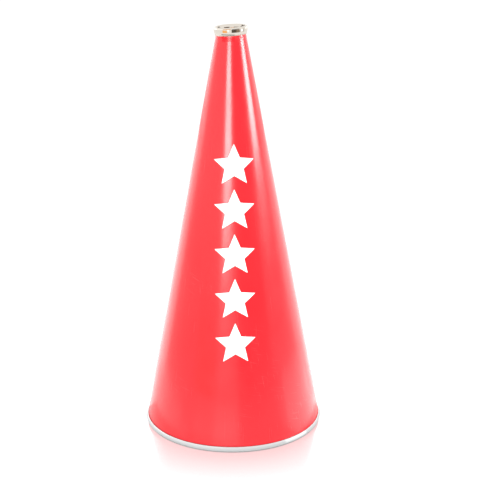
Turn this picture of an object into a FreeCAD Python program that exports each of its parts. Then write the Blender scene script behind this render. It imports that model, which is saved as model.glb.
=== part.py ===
import FreeCAD, Part
import math
import os

# A cheer megaphone: a rolled plastic cone with a chromed mouthpiece and a metal bell rim.
# Millimetres. The megaphone stands on its bell. +Z is the cone's axis and points at the
# mouthpiece, the origin is the centre of the bell on the surface that it stands on, -Y is
# the front with the column of stars, and +Y is the back with the riveted lap seam.

Vector = FreeCAD.Vector
ORIGIN = Vector(0, 0, 0)
UP = Vector(0, 0, 1)

# Overall sizes
TOTAL_HEIGHT = 521.0
BELL_RIM_RADIUS = 116.5
MOUTHPIECE_RADIUS = 21.2

# Cone sheet: its outer face is a straight cone through these two radii
CONE_RADIUS_AT_BASE = 115.4
CONE_NECK_RADIUS = 18.75
CONE_NECK_HEIGHT = 511.0
SHEET_THICKNESS = 1.3
SHEET_LOW = 3.0
SHEET_HIGH = 514.5

SLOPE = (CONE_RADIUS_AT_BASE - CONE_NECK_RADIUS) / CONE_NECK_HEIGHT
HALF_ANGLE = math.atan(SLOPE)
COS_HALF = math.cos(HALF_ANGLE)
SIN_HALF = math.sin(HALF_ANGLE)

# Bell rim: a rolled channel with a round bead outside that takes the sheet's lower edge
RIM_HEIGHT = 7.3
RIM_METAL = 0.6
RIM_CLEARANCE = 0.25
RIM_BEAD_DEPTH = 1.4
RIM_FOOT_ROUNDING = 0.7
RIM_EDGE_ROUNDING = 0.25
RIM_END_GAP = 0.5

# Mouthpiece ring: a throat inside the neck, a flare, a rolled lip and an outer band, in one wall
LIP_RADIUS = 2.1
THROAT_METAL = 0.8
THROAT_LOW = 503.0
THROAT_HIGH = 516.5
FLARE_TURN = 40.0
WAIST_HEIGHT = 515.2
WAIST_RADIUS = 21.05
BAND_LOW = 513.3
BAND_LOW_RADIUS = 20.45
FIT_GAP = 0.1

# Mouthpiece collar: the lower band that grips the neck under the ring
COLLAR_RADIUS = 20.15
COLLAR_TOP = 513.2
COLLAR_UPSTAND_RADIUS = 19.5
COLLAR_UPSTAND_TOP = 515.4
COLLAR_ROUNDING = 0.4

# Lap seam at the back, one straight strip of constant width with a joggle beside it
LAP_HALF_WIDTH = 6.0
JOGGLE_WIDTH = 6.0
LAP_LOW = 8.0
LAP_HIGH = 510.4
JOGGLE_SPANS = 12
JOGGLE_EASE = 0.2

# Rivets along the lap
RIVET_COUNT = 7
RIVET_LOWEST = 44.0
RIVET_HIGHEST = 452.0
SHANK_RADIUS = 1.6
HEAD_RADIUS = 4.0
HEAD_HEIGHT = 1.3
TAIL_RADIUS = 2.6
TAIL_HEIGHT = 0.8
TAIL_ROUNDING = 0.3
WASHER_RADIUS = 4.5
WASHER_THICKNESS = 0.6
HOLE_CLEARANCE = 0.05

# Vinyl stars, a straight column down the front
STAR_COUNT = 5
STAR_TOP_HEIGHT = 358.6
STAR_PITCH = 54.9
STAR_OFFSET_X = 3.4
STAR_POINTS = 5
STAR_RADIUS = 27.0
STAR_INNER_RATIO = 0.46
STAR_THICKNESS = 0.25
STAR_GAP = 0.02
STAR_EDGE_STEPS = 4


def skin_radius(height, offset=0.0):
    """Radius at this height of the surface that lies offset outside the cone's outer face."""
    return CONE_RADIUS_AT_BASE - height * SLOPE + offset / COS_HALF


def frustum(offset, low, high):
    """Solid inside the surface that lies offset outside the cone's outer face."""
    return Part.makeCone(skin_radius(low, offset), skin_radius(high, offset), high - low, Vector(0, 0, low))


def conical_skin(inner_offset, outer_offset, low, high):
    """Thin conical wall between two offsets from the cone's outer face."""
    return frustum(outer_offset, low, high).cut(frustum(inner_offset, low, high))


def line(start, end):
    return Part.makeLine(Vector(start[0], 0, start[1]), Vector(end[0], 0, end[1]))


def arc(start, middle, end):
    points = [Vector(r, 0, z) for r, z in (start, middle, end)]
    return Part.Arc(*points).toShape()


def spun(edges):
    """Solid turned about the axis from a closed outline in the XZ plane."""
    return Part.Face(Part.Wire(edges)).revolve(ORIGIN, UP, 360)


def spun_sheet_metal(edges, thickness):
    """Sheet metal turned about the axis: an open outline, thickened into its own hollow."""
    face = Part.Wire(edges).makeOffset2D(-thickness, 0, True, True)
    return face.revolve(ORIGIN, UP, 360)


def back_point(across, height, offset):
    """Point on the back of the cone, this far across the seam, at an offset from its face."""
    radius = skin_radius(height, offset)
    return Vector(across, math.sqrt(radius ** 2 - across ** 2), height)


def joggle_wedge(corners):
    """Wedge beside the lap, from (across, offset) corners carried up the cone."""
    sections = []
    for step in range(JOGGLE_SPANS + 1):
        height = LAP_LOW + (LAP_HIGH - LAP_LOW) * step / JOGGLE_SPANS
        points = [back_point(across, height, offset) for across, offset in corners]
        sections.append(Part.makePolygon(points + points[:1]))
    return Part.makeLoft(sections, True, True)


def rivet_heights():
    pitch = (RIVET_HIGHEST - RIVET_LOWEST) / (RIVET_COUNT - 1)
    return [RIVET_LOWEST + pitch * index for index in range(RIVET_COUNT)]


def washer_seat(height):
    """Depth under the lap's outer face where a flat washer meets the hollow inner wall."""
    inner_radius = skin_radius(height, -SHEET_THICKNESS)
    return 2 * SHEET_THICKNESS + WASHER_RADIUS ** 2 / (2 * inner_radius)


def on_the_seam(shape, height):
    """Move a shape made along +Z, with its head on z = 0, to stand square on the lap."""
    tilt = 90 - math.degrees(HALF_ANGLE)
    shape.rotate(ORIGIN, Vector(-1, 0, 0), tilt)
    shape.translate(back_point(0, height, SHEET_THICKNESS))
    return shape


def shank_hole(height):
    depth = washer_seat(height) + WASHER_THICKNESS
    hole = Part.makeCylinder(SHANK_RADIUS + HOLE_CLEARANCE, depth + HEAD_HEIGHT, Vector(0, 0, -depth))
    return on_the_seam(hole, height)


def make_cone_sheet():
    sheet = conical_skin(-SHEET_THICKNESS, 0, SHEET_LOW, SHEET_HIGH)
    lap = conical_skin(-SHEET_THICKNESS / 2, SHEET_THICKNESS, LAP_LOW, LAP_HIGH)
    lap_area = Part.makeBox(
        2 * LAP_HALF_WIDTH, 2 * CONE_RADIUS_AT_BASE, TOTAL_HEIGHT, Vector(-LAP_HALF_WIDTH, 0, 0)
    )
    joggle_edge = -LAP_HALF_WIDTH - JOGGLE_WIDTH
    joggle = joggle_wedge([
        (joggle_edge, -JOGGLE_EASE),
        (-LAP_HALF_WIDTH, SHEET_THICKNESS),
        (-LAP_HALF_WIDTH, -SHEET_THICKNESS / 2),
        (joggle_edge, -SHEET_THICKNESS / 2),
    ])
    groove = joggle_wedge([
        (joggle_edge, -SHEET_THICKNESS - JOGGLE_EASE),
        (-LAP_HALF_WIDTH, -JOGGLE_EASE),
        (-LAP_HALF_WIDTH, -2 * SHEET_THICKNESS),
        (joggle_edge, -2 * SHEET_THICKNESS),
    ])
    sheet = sheet.fuse([lap.common(lap_area), joggle]).cut(groove)
    for height in rivet_heights():
        sheet = sheet.cut(shank_hole(height))
    return sheet.removeSplitter()


def make_bell_rim():
    crest = BELL_RIM_RADIUS - RIM_BEAD_DEPTH
    lip_radius = skin_radius(RIM_HEIGHT, RIM_CLEARANCE)
    lip_under = RIM_HEIGHT - RIM_METAL - RIM_EDGE_ROUNDING
    corner = RIM_FOOT_ROUNDING * (1 - math.sqrt(0.5))
    edge_corner = RIM_EDGE_ROUNDING * (1 - math.sqrt(0.5))
    hidden_face = -SHEET_THICKNESS - RIM_CLEARANCE
    foot_inner = skin_radius(RIM_FOOT_ROUNDING, hidden_face - RIM_METAL)
    leg_top_inner = (skin_radius(RIM_HEIGHT, hidden_face - RIM_METAL), RIM_HEIGHT)
    leg_top_outer = (skin_radius(RIM_HEIGHT, hidden_face), RIM_HEIGHT)
    leg_bottom = (skin_radius(RIM_METAL, hidden_face), RIM_METAL)
    hollow_low = (crest - RIM_METAL / 2, RIM_METAL)
    hollow_high = (crest - RIM_METAL / 2, lip_under)
    hollow_middle = (BELL_RIM_RADIUS - RIM_METAL, (RIM_METAL + lip_under) / 2)
    rim = spun([
        line((lip_radius, lip_under), (lip_radius, RIM_HEIGHT - RIM_EDGE_ROUNDING)),
        arc(
            (lip_radius, RIM_HEIGHT - RIM_EDGE_ROUNDING),
            (lip_radius + edge_corner, RIM_HEIGHT - edge_corner),
            (lip_radius + RIM_EDGE_ROUNDING, RIM_HEIGHT),
        ),
        line((lip_radius + RIM_EDGE_ROUNDING, RIM_HEIGHT), (crest, RIM_HEIGHT)),
        arc((crest, RIM_HEIGHT), (BELL_RIM_RADIUS, RIM_HEIGHT / 2), (crest, 0)),
        line((crest, 0), (foot_inner + RIM_FOOT_ROUNDING, 0)),
        arc(
            (foot_inner + RIM_FOOT_ROUNDING, 0),
            (foot_inner + corner, corner),
            (foot_inner, RIM_FOOT_ROUNDING),
        ),
        line((foot_inner, RIM_FOOT_ROUNDING), leg_top_inner),
        line(leg_top_inner, leg_top_outer),
        line(leg_top_outer, leg_bottom),
        line(leg_bottom, hollow_low),
        arc(hollow_low, hollow_middle, hollow_high),
        line(hollow_high, (lip_radius, lip_under)),
    ])
    butt_joint = Part.makeBox(
        RIM_END_GAP, 2 * BELL_RIM_RADIUS, 2 * RIM_HEIGHT, Vector(-RIM_END_GAP / 2, 0, -RIM_HEIGHT / 2)
    )
    return rim.cut(butt_joint)


def make_mouthpiece_ring():
    throat_offset = -SHEET_THICKNESS - FIT_GAP - THROAT_METAL
    throat_low = (skin_radius(THROAT_LOW, throat_offset), THROAT_LOW)
    throat_high = (skin_radius(THROAT_HIGH, throat_offset), THROAT_HIGH)
    lip_height = TOTAL_HEIGHT - LIP_RADIUS
    lip_middle = MOUTHPIECE_RADIUS - LIP_RADIUS
    lip_outer = (MOUTHPIECE_RADIUS, lip_height)
    turn = math.radians(FLARE_TURN)
    flare_end = (lip_middle - LIP_RADIUS * math.cos(turn), lip_height + LIP_RADIUS * math.sin(turn))
    band_radius = MOUTHPIECE_RADIUS - (MOUTHPIECE_RADIUS - WAIST_RADIUS) / 4
    outline = [
        line(throat_low, throat_high),
        arc(throat_high, flare_belly(throat_high, flare_end, turn), flare_end),
        arc(flare_end, (lip_middle, TOTAL_HEIGHT), lip_outer),
        arc(lip_outer, (band_radius, (lip_height + WAIST_HEIGHT) / 2), (WAIST_RADIUS, WAIST_HEIGHT)),
        line((WAIST_RADIUS, WAIST_HEIGHT), (BAND_LOW_RADIUS, BAND_LOW)),
    ]
    return spun_sheet_metal(outline, THROAT_METAL)


def flare_belly(start, end, turn):
    """Middle point of the arc between two points that leans out by this turn at its end."""
    lean = math.atan2(end[0] - start[0], end[1] - start[1])
    sagitta = math.dist(start, end) / 2 * math.tan((turn - lean) / 2)
    middle_radius = (start[0] + end[0]) / 2 - sagitta * math.cos(lean)
    middle_height = (start[1] + end[1]) / 2 + sagitta * math.sin(lean)
    return middle_radius, middle_height


def make_mouthpiece_collar():
    low = CONE_NECK_HEIGHT
    rounded = COLLAR_RADIUS - COLLAR_ROUNDING
    corner = COLLAR_ROUNDING * (1 - math.sqrt(0.5))
    foot_inner = (skin_radius(low, FIT_GAP), low)
    upstand_inner = (skin_radius(COLLAR_UPSTAND_TOP, FIT_GAP), COLLAR_UPSTAND_TOP)
    return spun([
        line(foot_inner, (rounded, low)),
        arc((rounded, low), (COLLAR_RADIUS - corner, low + corner), (COLLAR_RADIUS, low + COLLAR_ROUNDING)),
        line((COLLAR_RADIUS, low + COLLAR_ROUNDING), (COLLAR_RADIUS, COLLAR_TOP)),
        line((COLLAR_RADIUS, COLLAR_TOP), (COLLAR_UPSTAND_RADIUS, COLLAR_TOP)),
        line((COLLAR_UPSTAND_RADIUS, COLLAR_TOP), (COLLAR_UPSTAND_RADIUS, COLLAR_UPSTAND_TOP)),
        line((COLLAR_UPSTAND_RADIUS, COLLAR_UPSTAND_TOP), upstand_inner),
        line(upstand_inner, foot_inner),
    ])


def make_rivet(height):
    seat = washer_seat(height) + WASHER_THICKNESS
    tail_end = -seat - TAIL_HEIGHT
    dome_radius = (HEAD_RADIUS ** 2 + HEAD_HEIGHT ** 2) / (2 * HEAD_HEIGHT)
    dome_angle = math.asin(HEAD_RADIUS / dome_radius) / 2
    dome_centre = HEAD_HEIGHT - dome_radius
    dome_middle = (dome_radius * math.sin(dome_angle), dome_centre + dome_radius * math.cos(dome_angle))
    rivet = spun([
        arc((0, HEAD_HEIGHT), dome_middle, (HEAD_RADIUS, 0)),
        line((HEAD_RADIUS, 0), (SHANK_RADIUS, 0)),
        line((SHANK_RADIUS, 0), (SHANK_RADIUS, -seat)),
        line((SHANK_RADIUS, -seat), (TAIL_RADIUS, -seat)),
        line((TAIL_RADIUS, -seat), (TAIL_RADIUS - TAIL_ROUNDING, tail_end)),
        line((TAIL_RADIUS - TAIL_ROUNDING, tail_end), (0, tail_end)),
        line((0, tail_end), (0, HEAD_HEIGHT)),
    ])
    return on_the_seam(rivet, height)


def make_washer(height):
    base = Vector(0, 0, -washer_seat(height) - WASHER_THICKNESS)
    disc = Part.makeCylinder(WASHER_RADIUS, WASHER_THICKNESS, base)
    bore = Part.makeCylinder(SHANK_RADIUS + HOLE_CLEARANCE, WASHER_THICKNESS, base)
    return on_the_seam(disc.cut(bore), height)


def wrapped_point(across, down, centre_height):
    """Front-view (x, z) of a point of a flat sticker wrapped round the front of the cone."""
    centre_slant = skin_radius(centre_height) / SIN_HALF
    slant = math.hypot(across, centre_slant + down)
    turn = math.atan2(across, centre_slant + down) / SIN_HALF
    radius = slant * SIN_HALF
    height = (CONE_RADIUS_AT_BASE - radius) / SLOPE
    column_turn = math.asin(STAR_OFFSET_X / skin_radius(centre_height))
    return radius * math.sin(turn + column_turn), height


def star_outline():
    """Corners of a flat five-pointed star, with extra points along its straight edges."""
    corners = []
    for index in range(2 * STAR_POINTS):
        radius = STAR_RADIUS if index % 2 == 0 else STAR_RADIUS * STAR_INNER_RATIO
        angle = math.pi * index / STAR_POINTS
        corners.append((radius * math.sin(angle), -radius * math.cos(angle)))
    middle = (max(down for _, down in corners) + min(down for _, down in corners)) / 2
    points = []
    for (x0, y0), (x1, y1) in zip(corners, corners[1:] + corners[:1]):
        for step in range(STAR_EDGE_STEPS):
            share = step / STAR_EDGE_STEPS
            points.append((x0 + (x1 - x0) * share, y0 + (y1 - y0) * share - middle))
    return points


def make_star(centre_height):
    points = []
    for across, down in star_outline():
        x, z = wrapped_point(across, down, centre_height)
        points.append(Vector(x, -2 * CONE_RADIUS_AT_BASE, z))
    face = Part.Face(Part.makePolygon(points + points[:1]))
    prism = face.extrude(Vector(0, 2 * CONE_RADIUS_AT_BASE, 0))
    low = centre_height - 2 * STAR_RADIUS
    high = centre_height + 2 * STAR_RADIUS
    return prism.common(conical_skin(STAR_GAP, STAR_GAP + STAR_THICKNESS, low, high))


def save(name, shapes):
    """Write one node, as one solid or as a group of separate solids."""
    solids = [solid for shape in shapes for solid in shape.Solids]
    if not solids or not all(solid.isValid() for solid in solids):
        raise ValueError(name + " has no valid solid")
    shape = solids[0] if len(solids) == 1 else Part.makeCompound(solids)
    shape.exportStep("parts/" + name + ".step")
    box = shape.BoundBox
    print(name, len(solids), "solids,", round(shape.Volume), "mm3,",
          [round(value, 2) for value in (box.XMin, box.YMin, box.ZMin, box.XMax, box.YMax, box.ZMax)])


os.makedirs("parts", exist_ok=True)
save("cone_sheet", [make_cone_sheet()])
save("bell_rim", [make_bell_rim()])
save("mouthpiece_ring", [make_mouthpiece_ring()])
save("mouthpiece_collar", [make_mouthpiece_collar()])
save("seam_rivets", [make_rivet(height) for height in rivet_heights()])
save("seam_rivet_washers", [make_washer(height) for height in rivet_heights()])
for number in range(STAR_COUNT):
    save("star_decal_" + str(number + 1), [make_star(STAR_TOP_HEIGHT - STAR_PITCH * number)])
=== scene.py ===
import math

import bmesh
import bpy
import numpy as np
from mathutils import Matrix, Vector, noise


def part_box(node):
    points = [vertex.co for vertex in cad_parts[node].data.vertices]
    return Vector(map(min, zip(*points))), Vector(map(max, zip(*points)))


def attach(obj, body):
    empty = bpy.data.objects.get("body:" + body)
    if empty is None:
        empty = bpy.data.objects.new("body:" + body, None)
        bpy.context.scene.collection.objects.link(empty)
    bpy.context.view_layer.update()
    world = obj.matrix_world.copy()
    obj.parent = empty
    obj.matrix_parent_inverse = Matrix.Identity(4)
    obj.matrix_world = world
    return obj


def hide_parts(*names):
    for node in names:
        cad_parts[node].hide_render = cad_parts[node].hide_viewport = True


# A cheer megaphone standing on its bell: a rolled red sheet, a chromed mouthpiece, a metal
# bell rim, a riveted lap seam at the back (+Y) and a column of vinyl stars at the front (-Y).
# Metres throughout. Angles round the cone are measured from the back seam towards +X. Lights
# and reflection cards are placed by degrees from the front, also towards +X.

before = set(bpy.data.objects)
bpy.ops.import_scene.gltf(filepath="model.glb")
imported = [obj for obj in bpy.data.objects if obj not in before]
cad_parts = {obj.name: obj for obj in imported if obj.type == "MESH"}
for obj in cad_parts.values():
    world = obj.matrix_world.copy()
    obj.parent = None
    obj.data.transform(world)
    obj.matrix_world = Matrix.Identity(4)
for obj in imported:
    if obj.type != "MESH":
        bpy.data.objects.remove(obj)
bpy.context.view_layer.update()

MM = 0.001
BODY = "root"
EDGE_TOLERANCE = 0.01 * MM
WELD_DISTANCE = 0.002 * MM
SAME_POINT = 1e-7


def node_points(name):
    """The vertices of a CAD node, one row each."""
    return np.array([vertex.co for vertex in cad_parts[name].data.vertices])


# ---------------------------------------------------------------- sizes read from the frame

sheet_points = node_points("cone_sheet")
sheet_radii = np.hypot(sheet_points[:, 0], sheet_points[:, 1])
SHEET_LOW = sheet_points[:, 2].min()
SHEET_HIGH = sheet_points[:, 2].max()
at_low_edge = sheet_points[:, 2] < SHEET_LOW + EDGE_TOLERANCE
at_high_edge = sheet_points[:, 2] > SHEET_HIGH - EDGE_TOLERANCE
LOW_RADIUS = sheet_radii[at_low_edge].max()
HIGH_RADIUS = sheet_radii[at_high_edge].max()
SLOPE = (LOW_RADIUS - HIGH_RADIUS) / (SHEET_HIGH - SHEET_LOW)
HALF_ANGLE = math.atan(SLOPE)
COS_HALF = math.cos(HALF_ANGLE)
SIN_HALF = math.sin(HALF_ANGLE)
SHEET_THICKNESS = (LOW_RADIUS - sheet_radii[at_low_edge].min()) * COS_HALF


def skin_radius(height, offset=0.0):
    """Radius at this height of the surface that lies offset outside the cone's outer face."""
    return LOW_RADIUS - (height - SHEET_LOW) * SLOPE + offset / COS_HALF


# Only the lap's outer layer stands about a sheet's thickness outside the cone's outer face.
on_the_lap = sheet_radii > skin_radius(sheet_points[:, 2], 0.9 * SHEET_THICKNESS)
LAP_LOW = sheet_points[on_the_lap, 2].min()
LAP_HIGH = sheet_points[on_the_lap, 2].max()
LAP_HALF_WIDTH = sheet_points[on_the_lap, 0].max()
JOGGLE_WIDTH = LAP_HALF_WIDTH

RIM_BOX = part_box("bell_rim")
RING_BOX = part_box("mouthpiece_ring")
COLLAR_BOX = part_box("mouthpiece_collar")
RIVET_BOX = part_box("seam_rivets")
RIM_RADIUS = RIM_BOX[1].x
RIM_HEIGHT = RIM_BOX[1].z
RING_RADIUS = RING_BOX[1].x
TOTAL_HEIGHT = RING_BOX[1].z

RIVET_COUNT = 7
RIVET_HEAD_RADIUS = RIVET_BOX[1].x
STAR_NODES = sorted(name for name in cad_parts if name.startswith("star_decal"))


# ---------------------------------------------------------------- outlines

def arc(start, middle, end, count):
    """Points on the circle through three (radius, height) points, both ends included."""
    (x1, y1), (x2, y2), (x3, y3) = start, middle, end
    double_area = 2 * (x1 * (y2 - y3) + x2 * (y3 - y1) + x3 * (y1 - y2))
    s1, s2, s3 = x1 * x1 + y1 * y1, x2 * x2 + y2 * y2, x3 * x3 + y3 * y3
    centre_x = (s1 * (y2 - y3) + s2 * (y3 - y1) + s3 * (y1 - y2)) / double_area
    centre_y = (s1 * (x3 - x2) + s2 * (x1 - x3) + s3 * (x2 - x1)) / double_area
    radius = math.hypot(x1 - centre_x, y1 - centre_y)
    first, second, last = (math.atan2(y - centre_y, x - centre_x) for x, y in (start, middle, end))
    turn = (last - first) % (2 * math.pi)
    if (second - first) % (2 * math.pi) > turn:
        turn -= 2 * math.pi
    angles = first + turn * np.linspace(0, 1, count)
    return [(centre_x + radius * math.cos(a), centre_y + radius * math.sin(a)) for a in angles]


def straight(start, end, count=2):
    """Evenly spaced (radius, height) points from start to end, both included."""
    shares = np.linspace(0, 1, count)
    across, up = end[0] - start[0], end[1] - start[1]
    return [(start[0] + across * share, start[1] + up * share) for share in shares]


def joined(*stretches):
    """One closed outline from stretches of points, without doubled points where they meet."""
    points = []
    for stretch in stretches:
        for point in stretch:
            if not points or math.dist(point, points[-1]) > SAME_POINT:
                points.append(point)
    if math.dist(points[0], points[-1]) < SAME_POINT:
        points.pop()
    return points


# ---------------------------------------------------------------- meshes

def piece_from_grid(name, grid, uv_grid, close_rows, cap_ends, sharp_angle):
    """A closed mesh from a grid of points whose columns always close on themselves."""
    rows, columns = grid.shape[:2]
    faces, face_uvs = [], []
    for row in range(rows if close_rows else rows - 1):
        next_row = (row + 1) % rows
        for column in range(columns):
            next_column = (column + 1) % columns
            faces.append((
                row * columns + column,
                row * columns + next_column,
                next_row * columns + next_column,
                next_row * columns + column,
            ))
            face_uvs.append((
                uv_grid[row, column], uv_grid[row, column + 1],
                uv_grid[row + 1, column + 1], uv_grid[row + 1, column],
            ))
    if cap_ends:
        for row in (0, rows - 1):
            faces.append(tuple(row * columns + column for column in range(columns)))
            face_uvs.append(tuple(uv_grid[row, column] for column in range(columns)))
    mesh = bpy.data.meshes.new(name)
    mesh.from_pydata(grid.reshape(-1, 3).tolist(), [], faces)
    layer = mesh.uv_layers.new(name="surface")
    layer.data.foreach_set("uv", np.array([uv for face in face_uvs for uv in face], float).ravel())
    return finished_piece(name, mesh, sharp_angle)


def finished_piece(name, mesh, sharp_angle):
    """Weld, turn the faces outwards, shade smooth with sharp creases, and link the piece."""
    work = bmesh.new()
    work.from_mesh(mesh)
    bmesh.ops.remove_doubles(work, verts=work.verts, dist=WELD_DISTANCE)
    loose = [edge for edge in work.edges if not edge.link_faces]
    bmesh.ops.delete(work, geom=loose, context="EDGES")
    bmesh.ops.recalc_face_normals(work, faces=work.faces)
    work.to_mesh(mesh)
    work.free()
    mesh.shade_smooth()
    mesh.set_sharp_from_angle(angle=math.radians(sharp_angle))
    piece = bpy.data.objects.new(name, mesh)
    bpy.context.scene.collection.objects.link(piece)
    return piece


def lathe(name, outline, segments, gap=0.0, wobble=None, sharp_angle=35):
    """Turn a closed (radius, height) outline about the axis; a gap is left open at the back."""
    outline = np.array(outline)
    radii, heights = outline[:, 0], outline[:, 1]
    angles = np.linspace(gap / 2, 2 * math.pi - gap / 2, segments + 1)
    turns = angles if gap else angles[:-1]
    radial = np.tile(radii, (len(turns), 1))
    if wobble is not None:
        radial = radial + wobble(turns[:, None], heights[None, :])
    grid = np.stack([
        radial * np.sin(turns)[:, None],
        radial * np.cos(turns)[:, None],
        np.tile(heights, (len(turns), 1)),
    ], axis=2)
    closed = np.vstack([outline, outline[:1]])
    along = np.concatenate([[0], np.cumsum(np.hypot(*np.diff(closed, axis=0).T))])
    uv = np.stack(np.broadcast_arrays(angles[:, None] * radii.mean(), along[None, :]), axis=2)
    return piece_from_grid(name, grid, uv, not gap, bool(gap), sharp_angle)


def joined_piece(name, parts):
    """Join lathed parts into one piece, keeping their UVs."""
    work = bmesh.new()
    for part in parts:
        part.data.transform(part.matrix_world)
        work.from_mesh(part.data)
    mesh = bpy.data.meshes.new(name)
    work.to_mesh(mesh)
    work.free()
    for part in parts:
        old = part.data
        bpy.data.objects.remove(part)
        bpy.data.meshes.remove(old)
    piece = bpy.data.objects.new(name, mesh)
    bpy.context.scene.collection.objects.link(piece)
    return piece


def settle(piece, material, slot, *nodes):
    """Give a piece its material and its place in the frame, standing for these CAD nodes."""
    piece.data.materials.clear()
    piece.data.materials.append(material)
    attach(piece, BODY)
    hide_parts(*nodes)


# ---------------------------------------------------------------- the rolled sheet

RIPPLE_DEPTH = 0.10 * MM
RIPPLE_SIZE = 55 * MM
RIPPLE_HEIGHT_SHARE = 0.35  # below 1, so that the ripples are longer up the cone than round it
DIMPLE_DEPTH = 0.30 * MM
DIMPLE_SPREAD = 5.5 * MM
DIMPLE_REACH = 3 * DIMPLE_SPREAD
EDGE_BEVEL = 0.2 * MM
BEVEL_SHARE = 0.3  # how far the middle of a bevelled corner lies from its two faces
SEAM_HAIR = 0.02 * MM  # the steps of the seam lean by this much, so that no two columns coincide
SEAM_MARGIN = 0.4 * MM
JOGGLE_COLUMNS = 9
PLAIN_COLUMNS = 440
PLAIN_ROWS = 170
LAP_END_STEP = 0.15 * MM
LAP_END_MARGIN = 1.5 * MM
SHEET_CREASE = 40


def rivet_heights():
    """Heights of the rivets' centres, evenly spaced within their CAD box."""
    reach = RIVET_HEAD_RADIUS * COS_HALF
    return np.linspace(RIVET_BOX[0].z + reach, RIVET_BOX[1].z - reach, RIVET_COUNT)


def ripple(angle, height):
    """How far the rolled sheet stands off a true cone here: long soft waves and rivet dimples."""
    radius = skin_radius(height)
    x, y = radius * math.sin(angle), radius * math.cos(angle)
    wave = noise.noise(Vector((x, y, height * RIPPLE_HEIGHT_SHARE)) / RIPPLE_SIZE)
    total = RIPPLE_DEPTH * wave
    if y > 0 and abs(x) < DIMPLE_REACH:
        nearest = np.abs(rivet_heights() - height).min()
        total -= DIMPLE_DEPTH * math.exp(-(x * x + nearest * nearest) / DIMPLE_SPREAD ** 2)
    return total


def seam_columns():
    """(across, outer offset, inner offset) of the sheet's cross-section through the lap."""
    thick, half = SHEET_THICKNESS, LAP_HALF_WIDTH
    corner = EDGE_BEVEL * BEVEL_SHARE
    columns = []
    for share in np.linspace(0, 1, JOGGLE_COLUMNS):
        lift = thick * share * share * (3 - 2 * share)
        columns.append((-half - JOGGLE_WIDTH * (1 - share), lift, lift - thick))
    columns[-1] = (-half - SEAM_HAIR, thick, 0.0)
    columns += [
        (-half, thick, -thick + EDGE_BEVEL),
        (-half + corner, thick, -thick + corner),
        (-half + EDGE_BEVEL, thick, -thick),
        (-half / 2, thick, -thick),
        (0.0, thick, -thick),
        (half / 2, thick, -thick),
        (half - EDGE_BEVEL, thick, -thick),
        (half - corner, thick - corner, -thick),
        (half, thick - EDGE_BEVEL, -thick),
        (half + SEAM_HAIR, 0.0, -thick),
        (half + SEAM_MARGIN, 0.0, -thick),
    ]
    return columns


def sheet_rows():
    """Heights of the sheet's mesh rows, close together where the lap starts and ends."""
    between = np.linspace(LAP_LOW + LAP_END_MARGIN, LAP_HIGH - LAP_END_MARGIN, PLAIN_ROWS)
    ends = [SHEET_LOW, (SHEET_LOW + LAP_LOW) / 2, (SHEET_HIGH + LAP_HIGH) / 2, SHEET_HIGH]
    for end in (LAP_LOW, LAP_HIGH):
        ends += [end - LAP_END_STEP, end, end + LAP_END_STEP]
    return np.sort(np.concatenate([between, ends]))


def make_cone(material):
    """The sheet as one closed wall, up its outer face and down its inner face, with the lap's step."""
    columns = seam_columns()
    across = np.array([column[0] for column in columns])
    outer_lap = np.array([column[1] for column in columns])
    inner_lap = np.array([column[2] for column in columns])
    flat = np.zeros(PLAIN_COLUMNS)
    outer, inner, outer_uv = [], [], []
    for height in sheet_rows():
        seam_angles = np.arcsin(across / skin_radius(height))
        free_turn = (seam_angles[-1], seam_angles[0] + 2 * math.pi)
        free_angles = np.linspace(*free_turn, PLAIN_COLUMNS + 2)[1:-1]
        angles = np.concatenate([seam_angles, free_angles])
        lap_here = LAP_LOW <= height <= LAP_HIGH
        outer_seam = outer_lap if lap_here else 0 * outer_lap
        inner_seam = inner_lap if lap_here else 0 * inner_lap - SHEET_THICKNESS
        outer_offsets = np.concatenate([outer_seam, flat])
        inner_offsets = np.concatenate([inner_seam, flat - SHEET_THICKNESS])
        waves = np.array([ripple(angle, height) for angle in angles])
        for offsets, store in ((outer_offsets, outer), (inner_offsets, inner)):
            radii = skin_radius(height, offsets + waves)
            store.append(np.stack([
                radii * np.sin(angles), radii * np.cos(angles), np.full(len(angles), height)
            ], axis=1))
        turned = np.append(angles, angles[0] + 2 * math.pi)
        outer_uv.append(np.stack([turned * LOW_RADIUS, np.full(len(turned), height)], axis=1))
    grid = np.array(outer + inner[::-1])
    uv = np.array(outer_uv + outer_uv[::-1] + outer_uv[:1])
    cone = piece_from_grid("cone_body", grid, uv, True, False, SHEET_CREASE)
    settle(cone, material, "red_plastic", "cone_sheet")


# ---------------------------------------------------------------- metal rings

RIM_METAL = 0.6 * MM
RIM_BEAD_DEPTH = 1.4 * MM
RIM_FOOT = 0.7 * MM
RIM_EDGE = 0.25 * MM
RIM_CLEARANCE = 0.25 * MM
RIM_GAP = 0.5 * MM
RIM_SEGMENTS = 540
CRIMP_DEPTH = 0.045 * MM
CRIMP_WAVES = ((0.6, 67, 0.0), (0.4, 41, 1.3), (0.5, 3, 0.4))  # (share, waves in a turn, phase)


def rounded(start, end, corner_x, corner_z, count=6):
    """A quarter turn between two points, round the corner that they leave out."""
    bulge = 1 - math.sqrt(0.5)
    centre_x = start[0] + end[0] - corner_x
    centre_z = start[1] + end[1] - corner_z
    middle = (corner_x + (centre_x - corner_x) * bulge, corner_z + (centre_z - corner_z) * bulge)
    return arc(start, middle, end, count)


def crimped(angles, heights):
    """Shallow rolling marks round the rim, which fade out towards its foot."""
    fade = np.clip(heights / RIM_HEIGHT, 0, 1) ** 2
    marks = sum(share * np.sin(angles * waves + phase) for share, waves, phase in CRIMP_WAVES)
    return CRIMP_DEPTH * marks * fade


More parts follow.
